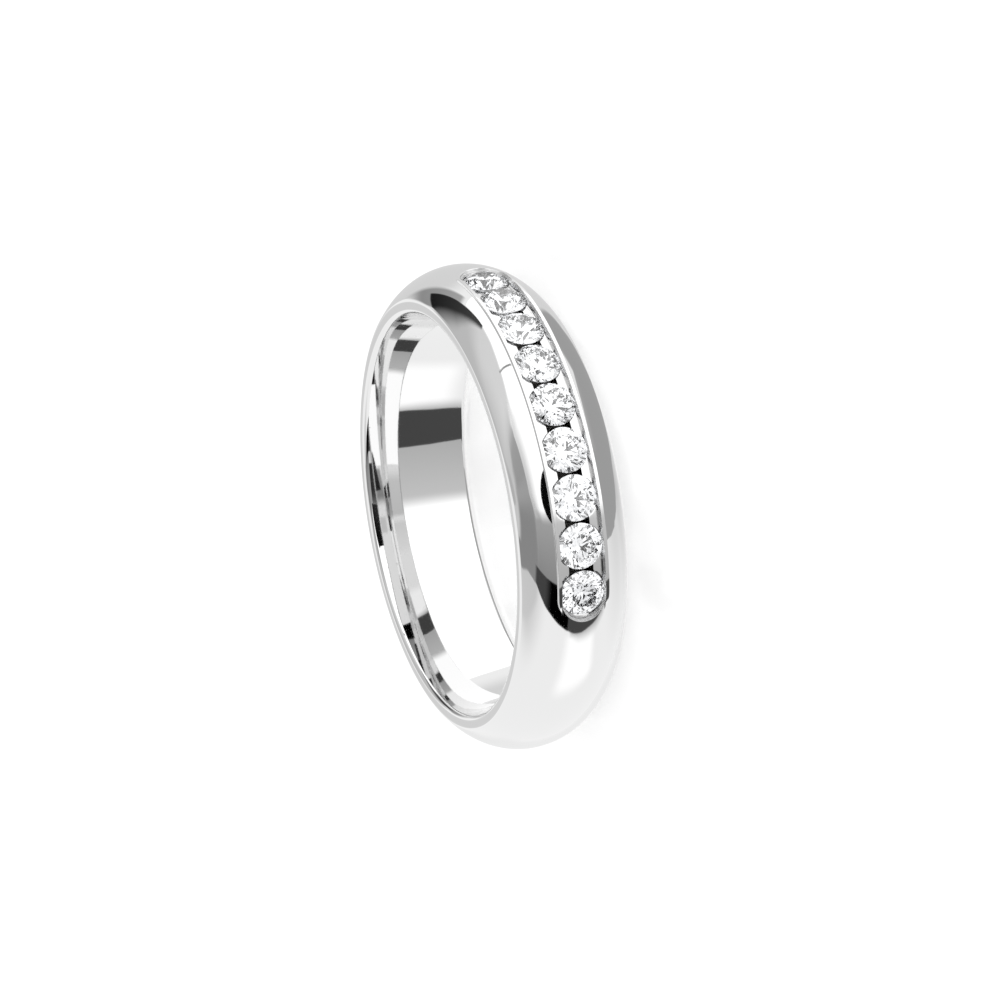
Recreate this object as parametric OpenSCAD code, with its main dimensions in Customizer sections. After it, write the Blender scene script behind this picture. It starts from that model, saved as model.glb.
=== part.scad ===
// Wedding ring: a domed band with a row of round brilliants held between two rails.
// The ring lies on its side. The finger hole runs along Z, and the row faces -Y.

/* [Band] */
// Inside diameter of the band at its middle, where the bore is narrowest
inner_d = 16.8; // [16.2:0.3:17.4]
// How much the bore's radius grows from its middle to its edges
bore_flare = 0.2; // [0.1:0.01:0.3]
// Length of the straight stretch at the middle of the bore
bore_flat = 0.6; // [0.3:0.05:1]
// Width of the band, along the finger
band_w = 4.75; // [4.2:0.05:6]
// Thickness of the band at the crown of its dome
crown_t = 1.98; // [1.9:0.02:2.6]
// Thickness of the band at its flat side faces, from the narrowest bore
side_t = 0.76; // [0.72:0.01:0.9]
// Radius between the bore and each side face
bore_edge_r = 0.25; // [0.1:0.05:0.3]
// Radius between each side face and the dome
dome_edge_r = 0.3; // [0.1:0.05:0.4]

/* [Stones] */
// Diameter of a stone at its girdle
stone_d = 1.92; // [1.7:0.01:1.96]
// Gap between the girdles of two stones
stone_gap = 0.07; // [0.04:0.01:0.2]
// Depth of the girdle's middle below the crown of the dome
girdle_drop = 0.33; // [0.3:0.01:0.4]
// Number of stones in the row
stone_count = 9; // [3:2:13]

/* [Cut of the stones] */
// Table width as a share of the stone's diameter
table_share = 0.57; // [0.5:0.01:0.65]
// Slope of the crown's main facets
crown_slope = 34.5; // [30:0.5:36]
// Slope of the pavilion's main facets
pavilion_slope = 40.8; // [40:0.1:42]
// Thickness of the girdle
girdle_t = 0.05; // [0.03:0.01:0.06]
// How far the star facets reach from the table to the girdle
star_share = 0.5; // [0.4:0.05:0.6]
// How far the lower halves reach from the girdle to the culet
lower_share = 0.77; // [0.7:0.01:0.85]

/* [Channel] */
// Width between the two rails, at the ledges
rail_gap = 1.78; // [1.74:0.01:1.82]
// How far the channel's walls lean back from upright
wall_lean = 16; // [12:1:18]
// Width of the flat top of each rail
crest_w = 0.15; // [0.1:0.01:0.17]
// How far a rail's outer face reaches from its top to the dome, along the finger
rail_foot = 0.04; // [0.03:0.01:0.1]
// Depth of the rails' tops below the crown of the dome
rail_drop = 0.11; // [0.08:0.01:0.13]
// How far the rails reach past the middle of the end stones before they sink into the dome
rail_end = 0.68; // [0.6:0.02:0.76]
// Depth of the ledges under the stones, below the girdle's middle
ledge_drop = 0.05; // [0.04:0.01:0.08]
// Height of the groove that takes the girdles
groove_h = 0.13; // [0.11:0.01:0.15]
// Width of the slot between the two ledges
slot_w = 1.08; // [0.9:0.02:1.2]
// Metal left under the slot, over the narrowest bore
floor_t = 0.7; // [0.5:0.05:0.75]
// Clearance between a stone and the metal
stone_fit = 0.025; // [0.01:0.005:0.03]
// How far the round ends of the channel stand off their stones
end_shift = 0.1; // [0.08:0.01:0.12]

/* [Hidden] */

inner_r = inner_d / 2;
outer_r = inner_r + crown_t;
mid_z = band_w / 2;

// The bore is one arc on each side of its straight stretch.
flat_half = bore_flat / 2;
flare_half = mid_z - bore_edge_r;
flare_run = (flare_half * flare_half - flat_half * flat_half + bore_flare * bore_flare) / (2 * bore_flare);
flare_x = inner_r + flare_run;
flare_r = sqrt(flare_run * flare_run + flat_half * flat_half);

// The dome is one arc through the crown and the outer edges of the side faces.
dome_rise = crown_t - side_t;
dome_r = (dome_rise * dome_rise + mid_z * mid_z) / (2 * dome_rise);
dome_x = outer_r - dome_r;

stone_r = stone_d / 2;
girdle_r = outer_r - girdle_drop;
pitch_a = 2 * asin((stone_d + stone_gap) / 2 / girdle_r);
row_a = -90;

crown_h = stone_r * (1 - table_share) * tan(crown_slope);
pavilion_h = stone_r * tan(pavilion_slope);
girdle_points = 32;
mains = 8;

ledge_r = girdle_r - ledge_drop;
rail_r = outer_r - rail_drop;
slot_floor_r = inner_r + floor_t;
channel_half = rail_gap / 2;
slot_half = slot_w / 2;
crest_half = channel_half + (rail_r - ledge_r) * tan(wall_lean) + crest_w;
foot_half = crest_half + rail_foot;
// The rails' outer faces go on below the dome by this share, down to the rails' roots
root_share = 0.2;
root_half = foot_half + root_share * rail_foot;
root_r = dome_at(foot_half) - root_share * (rail_r - dome_at(foot_half));
// Past the end stones the rails' tops bend down to the dome with this radius
bend_r = 1 / (1 / rail_r + 2 * (rail_r - dome_at(crest_half)) / pow(rail_end, 2));
// A stone's radius with its clearance, for the groove and for the seats
fit_r = stone_r + stone_fit;
// Radius of a seat at the ledges
seat_r = fit_r - (ledge_drop - girdle_t / 2) / tan(pavilion_slope);
// The channel's round ends lie inside the end seats by this much at the ledges
seat_lip = 0.016;
// How much wider than the channel its round ends are
end_more = seat_r - seat_lip - channel_half;

// The round ends are a little wider than the bars that they close
cap_ease = 0.03;
// How far a cutting shape goes past the metal that it cuts
spare = 0.2;

$fn = 96;
ring_fn = 240;

// Radius of the dome at a distance from the band's middle plane
function dome_at(off) = dome_x + sqrt(dome_r * dome_r - off * off);

// Angle of stone i round the ring, from the first at the right to the last at the left
function stone_a(i) = row_a - (i - (stone_count + 1) / 2) * pitch_a;

// What is cut from a corner of the profile, between the side face at y = 0 and an arc with
// its middle at [arc_x, mid_z]. The arc lies on the side that out points to, and r is the
// radius that the corner gets
module corner(arc_x, arc_r, r, out) {
    round_x = arc_x + out * sqrt(pow(arc_r - r, 2) - pow(mid_z - r, 2));
    touch_x = arc_x + (round_x - arc_x) * arc_r / (arc_r - r);
    touch_y = mid_z + (r - mid_z) * arc_r / (arc_r - r);
    far_x = touch_x + out * spare;
    difference() {
        polygon([[round_x, r], [round_x, -spare], [far_x, -spare], [far_x, touch_y], [touch_x, touch_y]]);
        translate([round_x, r]) circle(r = r);
    }
}

// Half section of the plain band, radius along x and height along y
module band_section() {
    difference() {
        intersection() {
            translate([dome_x, mid_z]) circle(r = dome_r, $fn = ring_fn);
            translate([flare_x, mid_z]) circle(r = flare_r, $fn = ring_fn);
            translate([inner_r, 0]) square([crown_t + spare, band_w]);
        }
        for (flip = [0, 1])
            translate([0, flip * band_w]) mirror([0, flip]) {
                corner(flare_x, flare_r, bore_edge_r, -1);
                corner(dome_x, dome_r, dome_edge_r, 1);
            }
    }
}

// Places its children on the ring at angle a, with their +Z along the radius
module on_ring(a, r) {
    rotate([0, 0, a]) translate([r, 0, mid_z]) rotate([0, 90, 0]) children();
}

// A cylinder wall that follows the ring, from radius r_low to r_high
module ring_wall(r_low, r_high) {
    difference() {
        cylinder(r = r_high, h = band_w, $fn = ring_fn);
        translate([0, 0, -spare]) cylinder(r = r_low, h = band_w + 2 * spare, $fn = ring_fn);
    }
}

// A curved bar along the row, from radius r_low to r_high. Its half width is given at r_low, and
// its walls lean out from upright. Its ends are rounds that are wider by cap_more, set out past
// the end stones by cap_shift
module row_bar(half, lean, r_low, r_high, cap_more, cap_shift) {
    first_a = stone_a(stone_count);
    last_a = stone_a(1);
    cap_a = cap_shift / girdle_r * 180 / PI;
    high_half = half + (r_high - r_low) * tan(lean);
    rotate([0, 0, first_a])
        rotate_extrude(angle = last_a - first_a, $fn = ring_fn)
            translate([0, mid_z])
                polygon([[r_low, -half], [r_high, -high_half], [r_high, high_half], [r_low, half]]);
    for (a = [first_a - cap_a, last_a + cap_a])
        on_ring(a, r_low) cylinder(r1 = half + cap_more, r2 = high_half + cap_more, h = r_high - r_low);
}

// The same bar, with walls that follow the ring under it and over it
module row_space(half, lean, r_low, r_high, cap_more, cap_shift) {
    intersection() {
        ring_wall(r_low, r_high);
        row_bar(half - spare * tan(lean), lean, r_low - spare, r_high + spare, cap_more, cap_shift);
    }
}

// Section of the raised metal that the channel is cut into, with its top at x = 0
module rail_section() {
    low = ledge_r - spare - rail_r;
    root = root_r - rail_r;
    translate([0, mid_z])
        polygon([[low, -root_half], [root, -root_half], [0, -crest_half],
                 [0, crest_half], [root, root_half], [low, root_half]]);
}

// An arc of that section with its top at radius r, from angle 0 to a
module rail_arc(r, a) {
    rotate_extrude(angle = a, $fn = ring_fn) translate([r, 0]) rail_section();
}

// The raised metal: it follows the ring along the row, and bends down past the end stones
module rail_block() {
    first_a = stone_a(stone_count);
    last_a = stone_a(1);
    bend_a = (1 + root_share) * rail_end / bend_r * 180 / PI;
    rotate([0, 0, first_a]) {
        rail_arc(rail_r, last_a - first_a);
        translate([rail_r - bend_r, 0]) rotate([0, 0, -bend_a]) rail_arc(bend_r, bend_a);
    }
    rotate([0, 0, last_a]) translate([rail_r - bend_r, 0]) rail_arc(bend_r, bend_a);
}

// The cone under one stone that its pavilion lies in, opened past the ledge
module seat() {
    low_r = slot_half / 2;
    low_h = (seat_r - low_r) * tan(pavilion_slope);
    seam = 0.001;
    translate([0, 0, -ledge_drop - low_h]) cylinder(r1 = low_r, r2 = seat_r, h = low_h);
    translate([0, 0, -ledge_drop - seam]) cylinder(r = seat_r, h = spare);
}

// The band before its stones: the dome with the raised rails, opened by channel and slot
module slotted_band() {
    difference() {
        union() {
            rotate_extrude($fn = ring_fn) band_section();
            rail_block();
        }
        row_space(channel_half, wall_lean, ledge_r, outer_r + spare, end_more, end_shift);
        row_space(slot_half, 0, slot_floor_r, ledge_r + groove_h / 2, cap_ease, cap_ease);
    }
}

// The ledges cut to the stones' pavilions
module seated_band() {
    difference() {
        slotted_band();
        for (i = [1 : stone_count]) on_ring(stone_a(i), girdle_r) seat();
    }
}

module band() {
    color("silver")
    difference() {
        seated_band();
        row_space(fit_r, 0, ledge_r, ledge_r + groove_h, cap_ease / 2, cap_ease);
    }
}

// Height of a sloped facet plane above the girdle at polar place (r, a)
function slope_z(r, a, slope) = (stone_r - r * cos(a)) * tan(slope);

// Height at girdle angle a of the half facet between a main at 0 and its neighbour, which
// meets the girdle halfway round and has its third corner at [inner_rad, inner_z]
function half_z(a, inner_rad, inner_z) =
    let (
        step = 180 / mains,
        main_p = [stone_r, 0, 0],
        side_p = [stone_r * cos(step), stone_r * sin(step), 0],
        top_p = [inner_rad * cos(step), inner_rad * sin(step), inner_z],
        n = cross(side_p - main_p, top_p - main_p),
        p = [stone_r * cos(a), stone_r * sin(a), 0]
    )
    -(n * (p - main_p)) / n[2];

// A point at polar place (r, a) and height z
function polar(r, a, z) = [r * cos(a), r * sin(a), z];

// The numbers of the points from a to b along the girdle, as a list that closes on itself
function girdle_run(first, a, b, by) = [for (j = [a : by : b]) first + j % girdle_points];

// A round brilliant: table, stars, kites and halves above, mains and halves below
module brilliant() {
    step = 360 / mains;
    fine = 360 / girdle_points;
    per_main = girdle_points / mains;
    per_half = per_main / 2;
    half_t = girdle_t / 2;
    table_r = stone_r * table_share;
    table_mid = table_r * cos(step / 2);
    star_r = table_mid + star_share * (stone_r - table_mid);
    star_z = slope_z(star_r, step / 2, crown_slope);
    low_r = stone_r * (1 - lower_share);
    low_z = slope_z(low_r, step / 2, pavilion_slope);

    // Angle of girdle point j from the nearest main
    function from_main(j) = let (k = j % per_main) min(k, per_main - k) * fine;

    points = concat(
        [for (k = [0 : mains - 1]) polar(table_r, k * step, half_t + crown_h)],
        [for (k = [0 : mains - 1]) polar(star_r, (k + 0.5) * step, half_t + star_z)],
        [for (j = [0 : girdle_points - 1])
            polar(stone_r, j * fine, half_t + half_z(from_main(j), star_r, star_z))],
        [for (j = [0 : girdle_points - 1])
            polar(stone_r, j * fine, -half_t - half_z(from_main(j), low_r, low_z))],
        [for (k = [0 : mains - 1]) polar(low_r, (k + 0.5) * step, -half_t - low_z)],
        [[0, 0, -half_t - pavilion_h]]
    );
    // Where each ring of points starts, after the table's at 0
    star = mains;
    top = star + mains;
    low = top + girdle_points;
    deep = low + girdle_points;
    culet = deep + mains;
    faces = concat(
        [[for (k = [mains - 1 : -1 : 0]) k]],
        [for (k = [0 : mains - 1]) [k, (k + 1) % mains, star + k]],
        [for (k = [0 : mains - 1]) [k, star + k, top + k * per_main, star + (k + mains - 1) % mains]],
        [for (k = [0 : mains - 1], h = [0, per_half])
            concat([star + k], girdle_run(top, k * per_main + h + per_half, k * per_main + h, -1))],
        [for (j = [0 : girdle_points - 1])
            concat(girdle_run(top, j, j + 1, 1), girdle_run(low, j + 1, j, -1))],
        [for (k = [0 : mains - 1], h = [0, per_half])
            concat([deep + k], girdle_run(low, k * per_main + h, k * per_main + h + per_half, 1))],
        [for (k = [0 : mains - 1])
            [culet, deep + (k + mains - 1) % mains, low + k * per_main, deep + k]]
    );
    polyhedron(points = points, faces = faces);
}

module stone(i) {
    color("white") on_ring(stone_a(i), girdle_r) brilliant();
}

band();
for (i = [1 : stone_count])
    stone(i);
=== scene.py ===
import math

import bmesh
import bpy
from mathutils import Matrix, Quaternion, Vector


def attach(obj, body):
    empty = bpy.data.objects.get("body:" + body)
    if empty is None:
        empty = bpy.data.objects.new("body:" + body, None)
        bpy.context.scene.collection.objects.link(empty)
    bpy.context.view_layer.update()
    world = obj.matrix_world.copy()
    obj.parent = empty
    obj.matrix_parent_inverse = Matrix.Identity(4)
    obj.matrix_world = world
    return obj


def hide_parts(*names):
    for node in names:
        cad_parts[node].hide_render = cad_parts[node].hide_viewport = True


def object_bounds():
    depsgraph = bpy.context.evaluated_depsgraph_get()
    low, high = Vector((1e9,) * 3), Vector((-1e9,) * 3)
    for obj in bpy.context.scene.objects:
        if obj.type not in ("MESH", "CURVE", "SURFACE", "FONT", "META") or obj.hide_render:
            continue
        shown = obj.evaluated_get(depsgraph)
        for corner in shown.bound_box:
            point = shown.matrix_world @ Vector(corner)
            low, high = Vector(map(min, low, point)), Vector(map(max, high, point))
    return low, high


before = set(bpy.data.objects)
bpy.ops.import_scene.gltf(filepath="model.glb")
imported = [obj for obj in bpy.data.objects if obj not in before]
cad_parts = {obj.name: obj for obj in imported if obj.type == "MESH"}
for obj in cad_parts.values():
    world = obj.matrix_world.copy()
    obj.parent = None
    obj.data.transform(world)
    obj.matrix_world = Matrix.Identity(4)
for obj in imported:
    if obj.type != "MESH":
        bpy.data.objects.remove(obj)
cadLow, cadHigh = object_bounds()
print("frame loaded:", len(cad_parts), "nodes")

# Sizes below are in millimetres and degrees, and meshes are made in metres
mm = 0.001
outerRadius = cadHigh.x / mm  # crown of the dome
bandWidth = cadHigh.z / mm
middle = bandWidth / 2  # height of the band's middle plane over the floor


# Helpers

def linear(hexText):  # sRGB hex to Blender's linear colour
    parts = [int(hexText[i:i + 2], 16) / 255 for i in (1, 3, 5)]
    return [p / 12.92 if p <= 0.04045 else ((p + 0.055) / 1.055) ** 2.4 for p in parts] + [1.0]


def addNode(tree, kind, settings=None, links=None):
    # settings: attributes, or inputs by name or number; links: input -> (node, output)
    node = tree.nodes.new(kind)
    for key, value in (settings or {}).items():
        if isinstance(key, int) or key in node.inputs:
            node.inputs[key].default_value = value
        else:
            setattr(node, key, value)
    for key, (source, output) in (links or {}).items():
        tree.links.new(source.outputs[output], node.inputs[key])
    return node


def newMaterial(name):
    material = bpy.data.materials.new(name)
    material.use_nodes = True
    material.node_tree.nodes.clear()
    return material, material.node_tree


def perMm(size):  # texture scale for a pattern of that size in mm, on object coordinates
    return 1 / (size * mm)


def finishMesh(name, build, material):
    mesh = bpy.data.meshes.new(name)
    build.to_mesh(mesh)
    build.free()
    piece = bpy.data.objects.new(name, mesh)
    bpy.context.scene.collection.objects.link(piece)
    piece.data.materials.append(material)
    return piece


# Camera, at the place that the outlines of the photographed ring give

camera = {
    "lens": 194.9,
    "distance": 229.5,
    "aim": (0.13, -0.23, 1.91),
    "turn": -21.57,
    "rise": 20.30,
    "roll": 99.45,  # the photographed ring stands upright, and this one lies on its side
    "sensor": 36,
    "clip": (0.01, 10),  # m
}


def makeCamera():
    turn, rise = math.radians(camera["turn"]), math.radians(camera["rise"])
    back = Vector((math.sin(turn) * math.cos(rise), -math.cos(turn) * math.cos(rise), math.sin(rise)))
    data = bpy.data.cameras.new("camera")
    data.sensor_width = camera["sensor"]
    data.lens = camera["lens"]
    data.clip_start, data.clip_end = camera["clip"]
    eye = bpy.data.objects.new("camera", data)
    bpy.context.scene.collection.objects.link(eye)
    eye.location = (Vector(camera["aim"]) + back * camera["distance"]) * mm
    eye.rotation_mode = "QUATERNION"
    roll = Quaternion((0, 0, 1), -math.radians(camera["roll"]))
    eye.rotation_quaternion = (-back).to_track_quat("-Z", "Y") @ roll
    bpy.context.scene.camera = eye


makeCamera()
print("camera placed")


# Band, one piece of white gold with its channel

band = {
    "boreRadius": 8.4,  # at the middle, where the bore is narrowest
    "boreFlare": 0.2,  # a comfort-fit bore opens by this much to its edges
    "boreEdge": 0.25,
    "domeRise": 1.22,
    "domeEdge": 0.3,
    "windowLean": 40,  # the part of the dome round the row reaches this far down on both sides
    "leanStep": 2,
    "stoneColumns": 24,  # mesh columns from stone to stone
    "marginColumns": 24,  # beyond the end stones, to the window's ends
    "plainColumns": 520,  # round the rest of the ring
    "windowLoops": (0, 0.14, 0.28, 0.42, 0.56, 0.7, 0.82, 0.92, 0.97),  # shares of the way to the rails
    "cornerSteps": 6,
    "boreSteps": 18,
    "weld": 0.0002,  # corners nearer than this become one
    "sharpAngle": 38,
    "arcTolerance": 0.00005,  # corners this near to the dome's or the bore's arc lie on it
}

row = {
    "count": 9,
    "middleTurn": -90,  # the row faces -Y
    "girdleRadius": outerRadius - 0.33,
    "spacing": 1.99,  # stone to stone
    "crest": outerRadius - 0.11,
    "crestIn": 0.967,  # half widths, from the row's centre line: inner edge of the rails' flat tops
    "outerWall": ((0.17, 1.15), (0.14, 1.14), (0.12, 1.136), (0.1, 1.133), (0.08, 1.13), (0.05, 1.126),
                  (0.025, 1.122), (0.012, 1.119), (0.005, 1.115), (0.0015, 1.11), (0, 1.102), (0, 0.985),
                  (0.002, 0.972), (0.008, 0.967)),  # depth below the rail's top, and half width
    "grooveWall": 0.927,  # where the leaning walls reach the groove
    "ledgeWall": 0.89,
    "railEnd": 0.68,  # past the end stones the rails sink into the dome
    "endWall": 1.17,  # top of the channel's end wall, past the end stones
    "collar": 0.03,  # step in the end wall
    "collarAt": 0.52,  # and where it is, as a share of the wall's height
    "grooveHalf": 0.985,
    "grooveTop": outerRadius - 0.25,
    "ledge": outerRadius - 0.38,
    "slotHalf": 0.54,
    "slotFloor": 9.1,
    "endRoom": 0.065,  # how much farther out the round ends are
    "seatRadius": 0.956,
    "seatSlope": 40.8,
    "seatRoom": 0.02,  # air between the seats and the stones
    "footBlend": 0.02,  # how softly the rails run out into the dome
    "straightShare": 28,  # degrees of a loop's end that lie on its straight sides
    # loops beside the channel, from the dome down: half width and reach past the end stones
    "domeLoops": ((1.21, 1.5), (1.185, 1.48), (1.165, 1.46)),
    "faceReach": 0.3,  # how much farther than its half width a loop of the outer wall reaches
    # the loop where the rails' tops turn down: depth, step in, straight part, and set behind the end wall
    "edgeLoop": (0.009, 0.0003, 0.24, 0.04),
    # loops over the rails' inner edges: depth below the top, and how far behind the end wall
    "topLoops": ((0.010, 0.02), (0.011, 0.012), (0.014, 0.004), (0.022, 0)),
    "topIn": 0.001,
    "topFall": 0.28,  # the inner edges narrow by this share of their depth
    "topStraight": 0.22,
    "wallLoops": (0.8, 0.56, 0.54, 0.5, 0.48, 0.1, 0),  # shares of the walls' height
    "wallIn": 0.007,
    "wallStraight": 0.1,
    "wallFall": 0.07,  # how far the end wall leans
    "ledgeLoops": (0, 0.12, 0.25, 0.4, 0.6, 0.8, 0.92, 0.97, 1),  # shares of the ledges' width
    "lip": 0.012,
    "slotLoops": (0.98, 0.66, 0.33, 0),  # shares of the slot's half width
    "slotCorner": 0.01,
    "tipWidth": 0.04,  # share of the rails' outer width that is left at their tips
}
pitch = 2 * math.degrees(math.asin(row["spacing"] / 2 / row["girdleRadius"]))
halfRow = pitch * (row["count"] - 1) / 2
columnStep = pitch / band["stoneColumns"]

domeRadius = (band["domeRise"] ** 2 + middle ** 2) / (2 * band["domeRise"])
domeAxis = outerRadius - domeRadius
flareHalf = middle - band["boreEdge"]
boreArc = (flareHalf ** 2 + band["boreFlare"] ** 2) / (2 * band["boreFlare"])
boreAxis = band["boreRadius"] + boreArc


def place(turn, radius, offset):  # turn from the middle stone, offset from the middle plane
    angle = math.radians(row["middleTurn"] + turn)
    return Vector((radius * math.cos(angle), radius * math.sin(angle), middle + offset)) * mm


def onDome(lean):
    lean = math.radians(lean)
    return domeAxis + domeRadius * math.cos(lean), domeRadius * math.sin(lean)


def domeAt(offset):
    return domeAxis + math.sqrt(domeRadius ** 2 - offset ** 2)


def leanAt(offset):
    return math.degrees(math.asin(offset / domeRadius))


def softMax(a, b, blend):
    return max(a, b) + max(0, blend - abs(a - b)) ** 2 / (4 * blend)


def cornerPoints(axis, arcRadius, cornerRadius, side, steps):
    # rounding between the side face and an arc, from the side face on, as (radius, offset)
    height = middle - cornerRadius
    centre = axis + side * math.sqrt((arcRadius - cornerRadius) ** 2 - height ** 2)
    end = math.atan2(height, centre - axis)
    points = []
    for i in range(steps + 1):
        angle = math.pi / 2 + (end - math.pi / 2) * i / steps
        points.append((centre + cornerRadius * math.cos(angle), height + cornerRadius * math.sin(angle)))
    return points


def sideProfile():
    # from the window's edge on the dome over the upper side face to the middle of the bore
    domeCorner = cornerPoints(domeAxis, domeRadius, band["domeEdge"], 1, band["cornerSteps"])
    boreCorner = cornerPoints(boreAxis, boreArc, band["boreEdge"], -1, band["cornerSteps"])
    cornerLean = leanAt(domeCorner[-1][1])
    rows = round((cornerLean - band["windowLean"]) / band["leanStep"])
    dome = [onDome(band["windowLean"] + (cornerLean - band["windowLean"]) * i / rows) for i in range(rows)]
    boreTop = boreCorner[-1][1]
    bore = []
    for i in range(1, band["boreSteps"] // 2 + 1):
        offset = boreTop * (1 - 2 * i / band["boreSteps"])
        bore.append((boreAxis - math.sqrt(boreArc ** 2 - offset ** 2), offset))
    return dome + domeCorner[::-1] + boreCorner + bore


def columnTurns():
    # turns of all columns, from the window's start round the ring
    window = 2 * (halfRow + band["marginColumns"] * columnStep)
    count = round(window / columnStep)
    turns = [-window / 2 + i * columnStep for i in range(count)]
    rest = (360 - window) / band["plainColumns"]
    return turns + [window / 2 + i * rest for i in range(band["plainColumns"])], count


def rowLoop():
    # spots on one loop round the row: base turn, side, run along the straight end part from 0 to 1,
    # sweep round the end in degrees, and the window's edge as turn and lean
    margin, lean = band["marginColumns"], band["windowLean"]
    rows = round(2 * lean / band["leanStep"])
    half = [(i * columnStep - halfRow, 1, 0, 90, i * columnStep - halfRow, lean)
            for i in range(band["stoneColumns"] * (row["count"] - 1))]
    edge = [(i / margin, 1) for i in range(margin)]
    edge += [(1, 1 - 2 * i / rows) for i in range(rows)]
    edge += [(1 - i / margin, -1) for i in range(margin)]
    for out, share in edge:
        turn = out * margin * columnStep
        sweep = math.degrees(math.atan2(onDome(share * lean)[1], math.radians(turn) * outerRadius))
        roundSpan = 90 - row["straightShare"]
        run = min(1, (90 - abs(sweep)) / row["straightShare"])
        sweep = max(-90, min(90, sweep * 90 / roundSpan))
        half.append((halfRow, 1, run, sweep, halfRow + turn, share * lean))
    return half + [(-base, -1, run, sweep, -turn, -lean) for base, side, run, sweep, turn, lean in half]


def seatAt(turn, offset):
    # radius of the nearest stone's seat, a cone below its pavilion
    nearest = min(range(row["count"]), key=lambda i: abs(turn - (i * pitch - halfRow)))
    away = math.radians(turn - (nearest * pitch - halfRow))
    reach = math.hypot(row["ledge"] * math.sin(away), offset)
    if reach >= row["seatRadius"]:
        return outerRadius
    drop = (row["seatRadius"] - reach) * math.tan(math.radians(row["seatSlope"])) + row["seatRoom"]
    return (row["ledge"] - drop) / math.cos(away)


def notchAt(base, wall):
    # half width of the groove that holds the stones: only a short notch beside each stone
    nearest = min(range(row["count"]), key=lambda i: abs(base - (i * pitch - halfRow)))
    along = row["girdleRadius"] * math.radians(base - (nearest * pitch - halfRow))
    return math.sqrt(max(wall ** 2, row["grooveHalf"] ** 2 - along ** 2))


def channelLevels():
    # levels from the rails' feet to the slot's floor: height rule, its value, and then half width,
    # straight part and reach of the loop's ends past the end stones
    inner, end, endWall = row["crestIn"], row["railEnd"], row["endWall"]
    levels = [("dome", 0, half, end, reach) for half, reach in row["domeLoops"]]
    levels += [("face", drop, half, end, half + row["faceReach"]) for drop, half in row["outerWall"]]
    drop, stepIn, straight, back = row["edgeLoop"]
    levels.append(("face", drop, inner - stepIn, straight, endWall + back))
    for drop, back in row["topLoops"]:
        half = inner - row["topIn"] - drop * row["topFall"]
        levels.append(("top", drop, half, row["topStraight"], endWall + back))
    for share in row["wallLoops"]:
        reach = endWall - row["wallFall"] * (1 - share) - (0 if share > row["collarAt"] else row["collar"])
        levels.append(("wall", share, 0, row["wallStraight"] * (1 + share), reach))
    levels.append(("notch", row["grooveTop"], row["grooveWall"], row["endRoom"], 0))
    levels += [("ledge", share, 0, 0, 0) for share in row["ledgeLoops"]]
    levels += [("lip", row["lip"], 1, 0, 0), ("slot", row["slotFloor"] + row["slotCorner"], 1, 0, 0)]
    return levels + [("slot", row["slotFloor"], share, 0, 0) for share in row["slotLoops"]]


def levelSpot(level, spot):
    # along the row past the base, and across it
    rule, value, half, straight, reach = level
    base, side, run, sweep = spot[:4]
    if rule in ("dome", "face"):  # the rails' outer faces close in towards their tips
        half = row["crestIn"] + (half - row["crestIn"]) * max(row["tipWidth"], 1 - run ** 3)
    elif rule == "wall":
        half = row["grooveWall"] + (row["crestIn"] - row["wallIn"] - row["grooveWall"]) * value
    elif rule == "notch":
        half = notchAt(base, half)
        reach = row["grooveHalf"] + straight
    elif rule == "ledge":
        outer, straight = notchAt(base, row["ledgeWall"]), row["endRoom"]
        half = outer + (row["slotHalf"] - outer) * value
        reach = row["grooveHalf"] + (row["slotHalf"] - row["grooveHalf"]) * value + straight
    elif rule in ("lip", "slot"):
        half, straight = row["slotHalf"] * half, row["endRoom"] * half
        reach = half + straight
    turn = math.radians(sweep)
    return side * (straight * run + (reach - straight) * math.cos(turn)), side * half * math.sin(turn)


def levelHeight(level, along, turn, offset):
    rule, value = level[:2]
    dome = domeAt(offset)
    crest = row["crest"] - (row["crest"] - domeAt(row["crestIn"])) * (along / row["railEnd"]) ** 2
    if rule == "dome":
        return dome
    if rule == "face":
        return softMax(dome, crest - value, row["footBlend"])
    top = softMax(dome, crest, row["footBlend"])
    if rule == "top":
        return top - value
    if rule == "wall":
        return row["grooveTop"] + (top - row["topLoops"][-1][0] - row["grooveTop"]) * value
    if rule in ("ledge", "lip"):
        return min(row["ledge"], seatAt(turn, offset)) - (value if rule == "lip" else 0)
    return value


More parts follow.
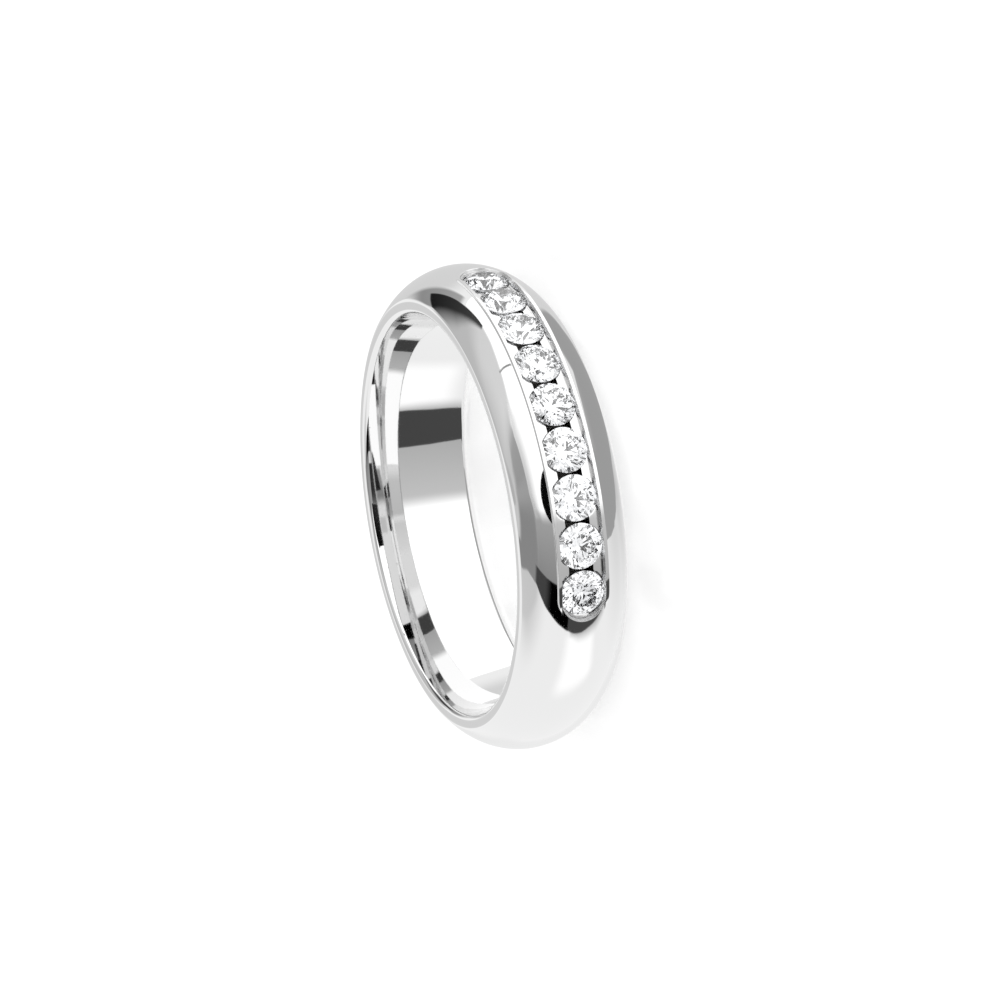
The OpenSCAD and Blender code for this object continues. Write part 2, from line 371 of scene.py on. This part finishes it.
def makeBand(material):
    build = bmesh.new()
    turns, windowColumns = columnTurns()

    def strip(first, second, closed, finish=0):
        count = len(first)
        for i in range(count if closed else count - 1):
            j = (i + 1) % count
            face = build.faces.new((first[i], first[j], second[j], second[i]))
            face.material_index = finish
            face.smooth = True

    # side faces, edges and bore, all round
    half = sideProfile()
    profile = half + [(radius, -offset) for radius, offset in half[-2::-1]]
    loops = [[build.verts.new(place(t, radius, offset)) for t in turns] for radius, offset in profile]
    for first, second in zip(loops, loops[1:]):
        strip(first, second, True)

    # dome outside the window
    plain = turns[windowColumns:] + [turns[0] + 360]
    rows = round(2 * band["windowLean"] / band["leanStep"])
    leans = [band["windowLean"] * (1 - 2 * i / rows) for i in range(rows + 1)]
    loops = [[build.verts.new(place(t, *onDome(lean))) for t in plain] for lean in leans]
    for first, second in zip(loops, loops[1:]):
        strip(first, second, False)

    # dome inside the window, down to the rail's foot, and then rails, ledges and slot
    spots = rowLoop()
    levels = channelLevels()
    foot = []
    for spot in spots:
        along, offset = levelSpot(levels[0], spot)
        foot.append((spot[0] + math.degrees(math.asin(along / domeAt(offset))), leanAt(offset)))
    loops = []
    for share in band["windowLoops"]:
        loop = []
        for (turn, lean), spot in zip(foot, spots):
            edgeTurn, edgeLean = spot[-2:]
            mixed = onDome(edgeLean + (lean - edgeLean) * share)
            loop.append(build.verts.new(place(edgeTurn + (turn - edgeTurn) * share, *mixed)))
        loops.append(loop)
    rules = ["window"] * len(loops) + [level[0] for level in levels]
    for level in levels:
        loop = []
        for spot in spots:
            along, offset = levelSpot(level, spot)
            turn = spot[0] + math.degrees(math.asin(along / row["ledge"]))
            radius = levelHeight(level, along, turn, offset)
            turn = spot[0] + math.degrees(math.asin(along / radius))
            loop.append(build.verts.new(place(turn, radius, offset)))
        loops.append(loop)
    # the slot keeps its cast skin and is coloured dark as painted shade under the stones, and the walls are
    # satin
    finishes = {"slot": 1, "wall": 2, "notch": 2}
    for first, second, rule in zip(loops, loops[1:], rules[1:]):
        strip(first, second, True, finishes.get(rule, 0))

    bmesh.ops.remove_doubles(build, verts=build.verts, dist=band["weld"] * mm)
    bmesh.ops.dissolve_degenerate(build, edges=build.edges, dist=band["weld"] * mm)
    bmesh.ops.recalc_face_normals(build, faces=build.faces)
    loose = [edge for edge in build.edges if len(edge.link_faces) != 2]
    print("band faces:", len(build.faces), "open edges:", len(loose))
    piece = finishMesh("band_white_gold", build, material)
    piece.data.set_sharp_from_angle(angle=math.radians(band["sharpAngle"]))
    setTrueNormals(piece.data)
    return piece


def setTrueNormals(mesh):
    # dome and bore are mirrors, so their normals come from the arcs and not from the mesh
    exact = []
    for corner in mesh.vertices:
        point = corner.co / mm
        around, height = math.hypot(point.x, point.y), point.z - middle
        normal = Vector()
        for axis, arc in ((domeAxis, domeRadius), (boreAxis, boreArc)):
            if abs(math.hypot(around - axis, height) - arc) < band["arcTolerance"]:
                out = around - axis
                normal = Vector((point.x / around * out, point.y / around * out, height)).normalized()
        exact.append(normal)
    mesh.normals_split_custom_set([exact[loop.vertex_index] for loop in mesh.loops])


# White gold, buffed to a mirror: bright and neutral, with sharp reflections that hand work leaves
# faintly wavy

whiteGold = {
    "colour": "#e8e8e8",
    "roughness": 0.035,
    "wallRoughness": 0.4,  # a wheel reaches the channel's walls less well
    "roughSpread": (0.6, 1.6),  # between and on the rubbing marks
    "waves": 2.2,  # mm, hand polishing leaves the surface faintly wavy
    "waveHeight": 0.0015,
    "rubs": 0.12,  # mm between rubbing marks, drawn coarser than the real 0.02
    "rubHeight": 0.00008,
}


def makeWhiteGold(name, roughness):
    material, tree = newMaterial(name)
    spot = addNode(tree, "ShaderNodeTexCoord")
    wave = addNode(tree, "ShaderNodeTexNoise", {"Scale": perMm(whiteGold["waves"]), "Detail": 1.0},
                   {"Vector": (spot, "Object")})
    rub = addNode(tree, "ShaderNodeTexNoise", {"Scale": perMm(whiteGold["rubs"]), "Detail": 2.0},
                  {"Vector": (spot, "Object")})
    waveBump = addNode(tree, "ShaderNodeBump", {"Distance": whiteGold["waveHeight"] * mm},
                       {"Height": (wave, "Fac")})
    rubBump = addNode(tree, "ShaderNodeBump", {"Distance": whiteGold["rubHeight"] * mm},
                      {"Height": (rub, "Fac"), "Normal": (waveBump, "Normal")})
    low, high = whiteGold["roughSpread"]
    rough = addNode(tree, "ShaderNodeMapRange", {"To Min": roughness * low, "To Max": roughness * high},
                    {"Value": (rub, "Fac")})
    shader = addNode(tree, "ShaderNodeBsdfPrincipled",
                     {"Base Color": linear(whiteGold["colour"]), "Metallic": 1.0},
                     {"Roughness": (rough, "Result"), "Normal": (rubBump, "Normal")})
    addNode(tree, "ShaderNodeOutputMaterial", None, {"Surface": (shader, "BSDF")})
    return material


# White gold as cast: dull and grainy, and coloured dark as painted shade of the slot under the stones.
# No wheel reaches into the slot, so it keeps its cast skin

slotShadeGold = {
    "light": "#6e6c69",
    "dark": "#2b2a29",
    "roughness": 0.55,
    "grain": 0.15,  # mm, of the mould's grit
}


def makeSlotShadeGold():
    material, tree = newMaterial("slot_gold_painted_shade")
    spot = addNode(tree, "ShaderNodeTexCoord")
    grain = addNode(tree, "ShaderNodeTexNoise", {"Scale": perMm(slotShadeGold["grain"]), "Detail": 3.0},
                    {"Vector": (spot, "Object")})
    # both tones are dark as painted shade under the stones, mottled at random by the grain
    colour = addNode(tree, "ShaderNodeMix", {"data_type": "RGBA", 6: linear(slotShadeGold["dark"]),
                                             7: linear(slotShadeGold["light"])}, {0: (grain, "Fac")})
    shader = addNode(tree, "ShaderNodeBsdfPrincipled",
                     {"Metallic": 1.0, "Roughness": slotShadeGold["roughness"]}, {"Base Color": (colour, 2)})
    addNode(tree, "ShaderNodeOutputMaterial", None, {"Surface": (shader, "BSDF")})
    return material


bandPiece = makeBand(makeWhiteGold("polished_white_gold", whiteGold["roughness"]))
bandPiece.data.materials.append(makeSlotShadeGold())
bandPiece.data.materials.append(makeWhiteGold("satin_white_gold", whiteGold["wallRoughness"]))
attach(bandPiece, "root")
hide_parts("band")
print("band made")


# Stones, nine round brilliants

stone = {
    "diameter": 1.92,
    "table": 0.57,  # share of the diameter
    "crownSlope": 34.5,
    "pavilionSlope": 40.8,
    "girdle": 0.05,  # thickness
    "star": 0.5,  # share of the way from the table to the girdle
    "lower": 0.77,  # share of the way from the girdle to the culet
    "mains": 8,
    "girdlePoints": 64,
    "ownTurn": 17,  # degrees from one stone to the next about its own axis, so that no two sparkle alike
    "colour": "#fcfdff",
    "ior": 2.417,
    "polished": (0.0, 0.004),  # lowest and highest roughness
    "ground": (0.35, 0.55),
    "cloud": 0.4,  # mm, of the roughness pattern
}


def makeStone(number, materials):
    radius, mains, points = stone["diameter"] / 2, stone["mains"], stone["girdlePoints"]
    step, fine = 2 * math.pi / mains, 2 * math.pi / points
    perMain = points // mains
    crown = math.tan(math.radians(stone["crownSlope"]))
    pavilion = math.tan(math.radians(stone["pavilionSlope"]))
    halfGirdle = stone["girdle"] / 2
    tableRadius = radius * stone["table"]
    tableMid = tableRadius * math.cos(step / 2)
    starRadius = tableMid + stone["star"] * (radius - tableMid)
    starHeight = (radius - starRadius * math.cos(step / 2)) * crown
    lowRadius = radius * (1 - stone["lower"])
    lowHeight = (radius - lowRadius * math.cos(step / 2)) * pavilion

    def halfFacet(index, innerRadius, innerHeight):
        # height of the half facet's plane at a girdle point
        nearest = min(index % perMain, perMain - index % perMain) * fine
        main = Vector((radius, 0, 0))
        side = Vector((radius * math.cos(step / 2), radius * math.sin(step / 2), 0))
        inner = Vector((innerRadius * math.cos(step / 2), innerRadius * math.sin(step / 2), innerHeight))
        normal = (side - main).cross(inner - main)
        point = Vector((radius * math.cos(nearest), radius * math.sin(nearest), 0))
        return -normal.dot(point - main) / normal.z

    build = bmesh.new()

    def ring(count, ringRadius, shift, heightOf):
        return [build.verts.new((ringRadius * math.cos((k + shift) * 2 * math.pi / count),
                                 ringRadius * math.sin((k + shift) * 2 * math.pi / count), heightOf(k)))
                for k in range(count)]

    tableZ = halfGirdle + (radius - tableRadius) * crown
    table = ring(mains, tableRadius, 0, lambda k: tableZ)
    stars = ring(mains, starRadius, 0.5, lambda k: halfGirdle + starHeight)
    top = ring(points, radius, 0, lambda k: halfGirdle + halfFacet(k, starRadius, starHeight))
    low = ring(points, radius, 0, lambda k: -halfGirdle - halfFacet(k, lowRadius, lowHeight))
    deep = ring(mains, lowRadius, 0.5, lambda k: -halfGirdle - lowHeight)
    culet = build.verts.new((0, 0, -halfGirdle - radius * pavilion))

    build.faces.new(table)
    for k in range(mains):
        before = (k + mains - 1) % mains
        build.faces.new((table[k], stars[k], table[(k + 1) % mains]))
        build.faces.new((table[k], stars[before], top[k * perMain], stars[k]))
        build.faces.new((culet, deep[k], low[k * perMain], deep[before]))
        for start in (k * perMain, k * perMain + perMain // 2):
            run = [(start + j) % points for j in range(perMain // 2 + 1)]
            build.faces.new([stars[k]] + [top[j] for j in run])
            build.faces.new([deep[k]] + [low[j] for j in run])
    for j in range(points):
        after = (j + 1) % points
        build.faces.new((top[j], low[j], low[after], top[after])).material_index = 1
    bmesh.ops.recalc_face_normals(build, faces=build.faces)

    turn = halfRow - (number - 1) * pitch
    out = place(turn, row["girdleRadius"], 0)
    direction = (out - Vector((0, 0, middle * mm))).normalized()
    own = Matrix.Rotation(math.radians(stone["ownTurn"] * number), 4, "Z")
    stand = direction.to_track_quat("Z", "Y").to_matrix().to_4x4()
    build.transform(Matrix.Translation(out) @ stand @ own @ Matrix.Scale(mm, 4))
    piece = finishMesh("brilliant_" + str(number), build, materials[0])
    piece.data.materials.append(materials[1])
    return piece


def makeDiamond(name, roughness):
    material, tree = newMaterial(name)
    spot = addNode(tree, "ShaderNodeTexCoord")
    cloud = addNode(tree, "ShaderNodeTexNoise", {"Scale": perMm(stone["cloud"]), "Detail": 2.0},
                    {"Vector": (spot, "Object")})
    rough = addNode(tree, "ShaderNodeMapRange", {"To Min": roughness[0], "To Max": roughness[1]},
                    {"Value": (cloud, "Fac")})
    shader = addNode(tree, "ShaderNodeBsdfPrincipled",
                     {"Base Color": linear(stone["colour"]), "Transmission Weight": 1.0,
                      "IOR": stone["ior"]}, {"Roughness": (rough, "Result")})
    addNode(tree, "ShaderNodeOutputMaterial", None, {"Surface": (shader, "BSDF")})
    return material


# cut diamond is clear and bright, and its girdle is ground and left frosted
stoneMaterials = [makeDiamond("cut_diamond", stone["polished"]),
                  makeDiamond("ground_girdle", stone["ground"])]
for number in range(1, row["count"] + 1):
    piece = makeStone(number, stoneMaterials)
    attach(piece, "root")
    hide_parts("stone_" + str(number))
print("stones made")


# Floor and light

studio = {
    "floorSize": 4.0,  # m
    "floorColour": "#c4c4c4",
    "floorGlow": 0.52,  # the ring lies on a lit white table, which keeps shadows faint
    "floorRoughness": 0.2,
    "floorParts": 8,
    "floorGap": 0.01,  # mm under the ring's side face
    "sky": 1.04,
    "cardDistance": 1.2,  # m, of the farthest card
    "cardGap": 0.01,
    "cardSteps": 12,
    "bounces": 24,  # a ray turns round many times in a diamond before it leaves
    "glossyBounces": 16,
    "glassBounces": 16,
}


def makeFloor():
    # white gloss board: pale, plain and even
    material, tree = newMaterial("white_gloss_board")
    shader = addNode(tree, "ShaderNodeBsdfPrincipled",
                     {"Base Color": linear(studio["floorColour"]), "Roughness": studio["floorRoughness"],
                      "Emission Color": (1, 1, 1, 1), "Emission Strength": studio["floorGlow"]})
    addNode(tree, "ShaderNodeOutputMaterial", None, {"Surface": (shader, "BSDF")})
    build = bmesh.new()
    parts = studio["floorParts"]
    bmesh.ops.create_grid(build, x_segments=parts, y_segments=parts, size=studio["floorSize"] / 2)
    bmesh.ops.translate(build, verts=build.verts, vec=(0, 0, -studio["floorGap"] * mm))
    floor = finishMesh("floor", build, material)
    floor.visible_glossy = False
    floor.visible_transmission = False


def makeSky():
    world = bpy.data.worlds.new("studio")
    world.use_nodes = True
    world.node_tree.nodes["Background"].inputs["Color"].default_value = (1, 1, 1, 1)
    world.node_tree.nodes["Background"].inputs["Strength"].default_value = studio["sky"]
    bpy.context.scene.world = world


# Cards that only the metal and the stones see, from the farthest to the nearest. Each is a ribbon
# through lines from (turn, rise) to (turn, rise), in degrees seen from the ring, with its glow at the
# first and last line and the shares of soft edge at the first line, last line, line starts and line ends.
cards = {
    "table_far": {
        "glow": (0.8, 0.78), "soft": (0.15, 0.01, 0.01, 1),
        "lines": [((76, -88), (76, -40)), ((100, -88), (100, -44)), ((200, -88), (200, -48)),
                  ((216, -88), (216, -50))],
    },
    "table_far_side": {
        "glow": (0.56, 0.74), "soft": (0.01, 0.75, 0.01, 0.9),
        "lines": [((56, -88), (56, -26)), ((110, -88), (110, -40))],
    },
    "side_far": {
        "glow": (0.84, 1.0), "soft": (0.2, 0.2, 0.3, 0.2),
        "lines": [((64, -52), (64, 6)), ((106, -52), (106, 6))],
    },
    "table_edge": {
        "glow": (0.4, 0.4), "soft": (0.0001, 0.0001, 0.0001, 0.03),
        "lines": [((60.5, -90), (60.5, -66)), ((63, -90), (63, -68)), ((69, -90), (69, -71.7)),
                  ((75, -90), (75, -74.2)), ((81, -90), (81, -76.2)), ((90, -90), (90, -77.8)),
                  ((102, -90), (102, -79.8)), ((114, -90), (114, -80.8)), ((138, -90), (138, -81.8)),
                  ((150, -90), (150, -80.5)), ((162, -90), (162, -80)), ((174, -90), (174, -78.8)),
                  ((186, -90), (186, -76.2)), ((198, -90), (198, -71.6)), ((204, -90), (204, -68)),
                  ((208, -90), (208, -64)), ((213, -90), (213, -60)), ((290, -90), (290, -61)),
                  ((330, -90), (330, -52)), ((350, -90), (350, -46)), ((360, -90), (360, -43.5)),
                  ((368, -90), (368, -42.5)),
                  ((375, -90), (375, -40.5)), ((381, -90), (381, -38.5)), ((387, -90), (387, -38.8)),
                  ((393, -90), (393, -40.3)), ((399, -90), (399, -41.5)), ((405, -90), (405, -43)),
                  ((411, -90), (411, -42)), ((417.5, -90), (417.5, -43)), ((420.5, -90), (420.5, -66))],
    },
    "table_fringe": {
        "glow": (0.6, 0.5), "soft": (0.15, 0.3, 1, 0.05),
        "lines": [((276, -76), (276, -60)), ((310, -74), (310, -55)), ((345, -68), (345, -47)),
                  ((360, -60), (360, -44))],
    },
    "ceiling_edge": {
        "glow": (0.68, 0.66), "soft": (0.5, 0.01, 1, 0.01),
        "lines": [((124, 34), (124, 64)), ((196, 32), (196, 64))],
    },
    "ceiling": {
        "glow": (0.72, 0.56), "soft": (0.1, 0.05, 0.15, 0.01),
        "lines": [((128, 62), (128, 90)), ((150, 56), (150, 90)), ((185, 47), (185, 90)),
                  ((300, 50), (300, 90)), ((318, 38), (318, 90)), ((335, 27), (335, 90)),
                  ((350, 20), (350, 90)), ((400, 22), (400, 90)), ((415, 35), (415, 90))],
    },
    "ceiling_light": {
        "glow": (0.82, 0.76), "soft": (0.2, 0.3, 0.01, 0.7),
        "lines": [((296, 48), (296, 84)), ((318, 36), (318, 84)), ((335, 25), (335, 82)),
                  ((347, 20), (347, 78)), ((362, 18), (362, 70))],
    },
    "ceiling_shade": {
        "glow": (0.29, 0.29), "soft": (0.06, 0.2, 0.15, 0.15),
        "lines": [((150, 76), (150, 81)), ((160, 73), (160, 81)), ((168, 71), (168, 81)),
                  ((177, 68.6), (177, 81)), ((184, 66), (184, 81)), ((188, 63.5), (188, 81)),
                  ((191.5, 58), (191.5, 80)), ((193, 52), (193, 80)), ((195, 47), (195, 80)),
                  ((236, 47), (236, 79)), ((262, 52), (262, 78)), ((280, 54), (280, 74))],
    },
    "ceiling_half_shade": {
        "glow": (0.34, 0.46), "soft": (0.3, 0.35, 0.1, 0.3),
        "lines": [((246, 53), (246, 80)), ((284, 53), (284, 76)), ((304, 53), (304, 66))],
    },
    "zenith": {
        "glow": (0.5, 0.54), "soft": (0.1, 0.1, 0.3, 0.001),
        "lines": [((240, 79), (240, 90)), ((290, 77), (290, 90)), ((350, 75), (350, 90))],
    },
    "front_low": {
        "glow": (0.5, 0.74), "soft": (0.02, 0.1, 0.1, 0.1),
        "lines": [((200, -66), (200, 6)), ((256, -66), (256, 6))],
    },
    "front_high": {
        "glow": (0.27, 0.45), "soft": (0.02, 0.1, 0.02, 0.1),
        "lines": [((200, 6), (200, 54)), ((244, 6), (244, 54))],
    },
    "white_front": {
        "glow": (1.5, 1.5), "soft": (0.11, 0.01, 0.02, 0.05),
        "lines": [((234, -62), (234, 42)), ((250, -62), (250, 53)), ((290, -62), (290, 54)),
                  ((310, -60), (310, 44)), ((320, -58), (320, 37)), ((336, -54), (336, 27)),
                  ((350, -50), (350, 21)), ((363, -46), (363, 17))],
    },
    "white_top": {
        "glow": (0.55, 1.0), "soft": (0.05, 0.3, 1, 0.02),
        "lines": [((236, 36), (236, 50)), ((252, 36), (252, 55)), ((292, 36), (292, 55)),
                  ((312, 30), (312, 45))],
    },
    "white_left": {
        "glow": (1.25, 1.25), "soft": (0.3, 0.1, 0.2, 0.3),
        "lines": [((142, -38), (142, 10)), ((184, -38), (184, 10))],
    },
    "front_gap": {
        "glow": (0.3, 0.3), "soft": (0.05, 0.05, 0.2, 0.2),
        "lines": [((315, 18), (316.6, 18)), ((321, 37), (322.6, 37))],
    },
    "low_front": {
        "glow": (0.95, 0.95), "soft": (0.1, 0.1, 0.05, 0.02),
        "lines": [((292, -66), (292, -47)), ((320, -64), (320, -42)), ((352, -60), (352, -40))],
    },
    "low_front_edge": {
        "glow": (0.66, 0.66), "soft": (0.1, 0.3, 0.3, 0.1),
        "lines": [((292, -50), (292, -47)), ((320, -45), (320, -42)), ((352, -43), (352, -40))],
    },
    "strip_side": {
        "glow": (0.4, 0.45), "soft": (0.1, 0.1, 1, 0.01),
        "lines": [((170, -54), (181, -54)), ((172, -30), (184, -30)), ((176, -12), (185, -12)),
                  ((181, 2), (187, 2))],
    },
    "strip": {
        "glow": (0.072, 0.062), "soft": (0.02, 0.08, 0.05, 0.04),
        "lines": [((175, -62), (195, -62)), ((178, -46), (200, -46)), ((179.3, -36), (203, -36)),
                  ((180.8, -26), (205, -26)), ((181.2, -16), (206, -16)), ((182.3, -6), (206.4, -6)),
                  ((183.8, 2), (206.4, 2)), ((185.2, 10), (206.4, 10)), ((186.2, 18), (206.4, 18)),
                  ((188, 28), (206.4, 28)), ((189, 38), (206.4, 38)), ((191.2, 46), (206.4, 46)),
                  ((193.4, 52), (206.4, 52)), ((194.6, 56), (206.2, 56))],
    },
    "strip_middle": {
        "glow": (0.0006, 0.0006), "soft": (0.06, 0.3, 0.06, 0.04),
        "lines": [((183.8, 3), (206.2, 3)), ((185.6, 13), (206.2, 13)), ((188, 28), (206.2, 28)),
                  ((189.4, 41), (206.2, 41))],
    },
    "camera": {
        "glow": (0.003, 0.003), "soft": (0.01, 0.01, 0.02, 0.02),
        "lines": [((235.5, 10), (235.5, 25)), ((237, 0), (237, 29)), ((240, -4), (240, 33)),
                  ((244, -4), (244, 36)), ((248.5, -4), (248.5, 37)), ((253, -4), (253, 36)),
                  ((257, -4), (257, 33)), ((260, 0), (260, 29)), ((261.5, 10), (261.5, 25))],
    },
    "side_low": {
        "glow": (0.8, 0.72), "soft": (0.3, 0.1, 0.05, 0.1),
        "lines": [((366, -44), (366, 10)), ((424, -44), (424, 10))],
    },
    "side_shade": {
        "glow": (0.45, 0.25), "soft": (0.1, 0.3, 0.2, 0.2),
        "lines": [((364, 9), (364, 17)), ((386, 5), (386, 25)), ((410, 2), (410, 28))],
    },
    "side_black": {
        "glow": (0.08, 0.012), "soft": (0.03, 0.02, 0.03, 0.65),
        "lines": [((345, 20.5), (345, 25)), ((352, 18.5), (352, 28)), ((370, 15), (370, 38)),
                  ((391, 11.5), (391, 40))],
    },
    "back_grey": {
        "glow": (0.75, 0.75), "soft": (0.2, 0.2, 0.2, 0.2),
        "lines": [((58, 8), (58, 33)), ((80, 8), (80, 33))],
    },
    "post": {
        "glow": (0.03, 0.03), "soft": (0.02, 0.7, 0.1, 0.05),
        "lines": [((212.5, -5), (212.5, 9)), ((262, -5), (262, 9))],
    },
}


# cards that the stones show too; the rest would make them grey
throughStones = ("strip_middle", "camera", "side_black", "white_front", "white_left")


def makeCard(name, order):
    # a ribbon of a big ball round the ring, seen in reflections alone
    card = cards[name]
    lines, steps = card["lines"], studio["cardSteps"]
    material, tree = newMaterial(name)
    spot = addNode(tree, "ShaderNodeTexCoord")
    apart = addNode(tree, "ShaderNodeSeparateXYZ", None, {"Vector": (spot, "UV")})
    fades = []
    for axis, near, far in (("X", *card["soft"][:2]), ("Y", *card["soft"][2:])):
        for start, end in ((0.0, near), (1.0, 1 - far)):
            fades.append(addNode(tree, "ShaderNodeMapRange",
                                 {"interpolation_type": "SMOOTHSTEP", "From Min": start, "From Max": end},
                                 {"Value": (apart, axis)}))
    across = addNode(tree, "ShaderNodeMath", {"operation": "MULTIPLY"},
                     {0: (fades[0], "Result"), 1: (fades[1], "Result")})
    along = addNode(tree, "ShaderNodeMath", {"operation": "MULTIPLY"},
                    {0: (fades[2], "Result"), 1: (fades[3], "Result")})
    cover = addNode(tree, "ShaderNodeMath", {"operation": "MULTIPLY"}, {0: (across, 0), 1: (along, 0)})
    glow = addNode(tree, "ShaderNodeMapRange", {"To Min": card["glow"][0], "To Max": card["glow"][1]},
                   {"Value": (apart, "X")})
    light = addNode(tree, "ShaderNodeEmission", None, {"Strength": (glow, "Result")})
    clear = addNode(tree, "ShaderNodeBsdfTransparent")
    mixed = addNode(tree, "ShaderNodeMixShader", None,
                    {0: (cover, 0), 1: (clear, "BSDF"), 2: (light, "Emission")})
    addNode(tree, "ShaderNodeOutputMaterial", None, {"Surface": (mixed, "Shader")})

    build = bmesh.new()
    layer = build.loops.layers.uv.new("UVMap")
    distance = studio["cardDistance"] - order * studio["cardGap"]
    total, wide = (len(lines) - 1) * steps, 2 * steps
    grid = []
    for i in range(total + 1):
        index = min(i // steps, len(lines) - 2)
        share = i / steps - index
        ends = [[a + (b - a) * share for a, b in zip(lines[index][k], lines[index + 1][k])] for k in (0, 1)]
        points = []
        for j in range(wide + 1):
            turn, rise = [math.radians(a + (b - a) * j / wide) for a, b in zip(*ends)]
            out = Vector((math.cos(rise) * math.cos(turn), math.cos(rise) * math.sin(turn), math.sin(rise)))
            points.append(build.verts.new(out * distance))
        grid.append(points)
    for i in range(total):
        for j in range(wide):
            corners = ((i, j), (i + 1, j), (i + 1, j + 1), (i, j + 1))
            face = build.faces.new([grid[a][b] for a, b in corners])
            for loop, (a, b) in zip(face.loops, corners):
                loop[layer].uv = (a / total, b / wide)
    piece = finishMesh(name, build, material)
    piece.visible_camera = piece.visible_diffuse = piece.visible_shadow = False
    piece.visible_transmission = name in throughStones


makeFloor()
makeSky()
for order, name in enumerate(cards):
    makeCard(name, order)
bpy.context.scene.view_settings.view_transform = "Standard"
bpy.context.scene.cycles.max_bounces = studio["bounces"]
bpy.context.scene.cycles.glossy_bounces = studio["glossyBounces"]
bpy.context.scene.cycles.transmission_bounces = studio["glassBounces"]
print("studio made")
